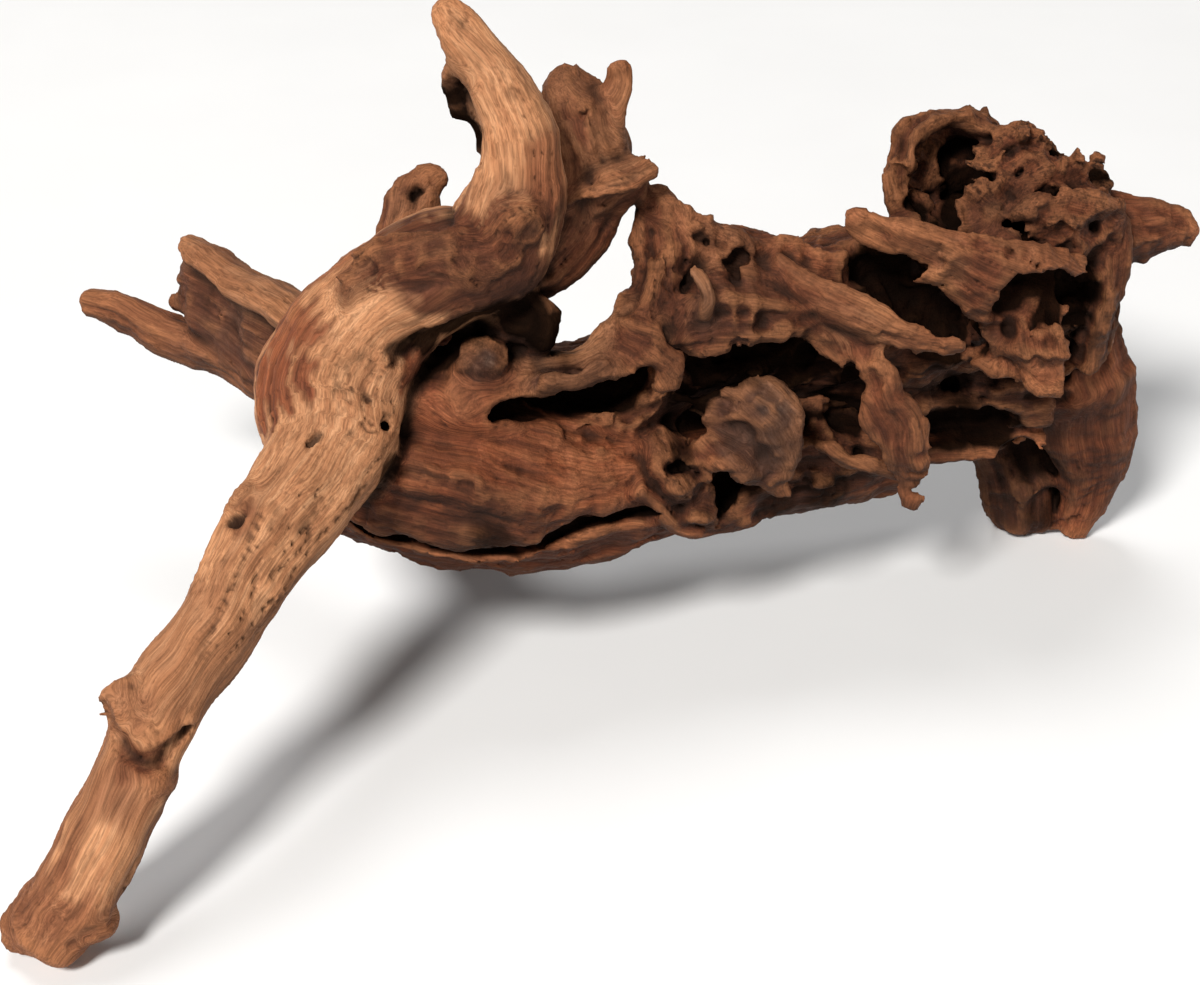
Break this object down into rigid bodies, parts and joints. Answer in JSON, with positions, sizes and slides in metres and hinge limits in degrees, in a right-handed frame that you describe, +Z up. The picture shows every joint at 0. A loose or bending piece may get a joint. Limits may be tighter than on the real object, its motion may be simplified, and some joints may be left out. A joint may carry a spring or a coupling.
{
  "type": "piece of driftwood",
  "caption": "Weathered driftwood: a hollowed trunk with a gnarled root head at one end and a horn-shaped branch at the other, standing on splayed roots as a natural ornament.",
  "frame": {"origin": "on the ground, under the middle of the wood's bounding box", "axes": "+X along the trunk from the horn end to the gnarled head, +Y away from the leg at the front, +Z up"},
  "size_m": [0.4263, 0.2826, 0.265],
  "materials": {
    "weathered_wood": "dry, matt, with raised grain; pale orange tan on the leg and horn, red brown on the trunk, dark brown in the hollows"
  },
  "bodies": {
    "root": {"driftwood": "weathered_wood"}
  },
  "joints": []
}
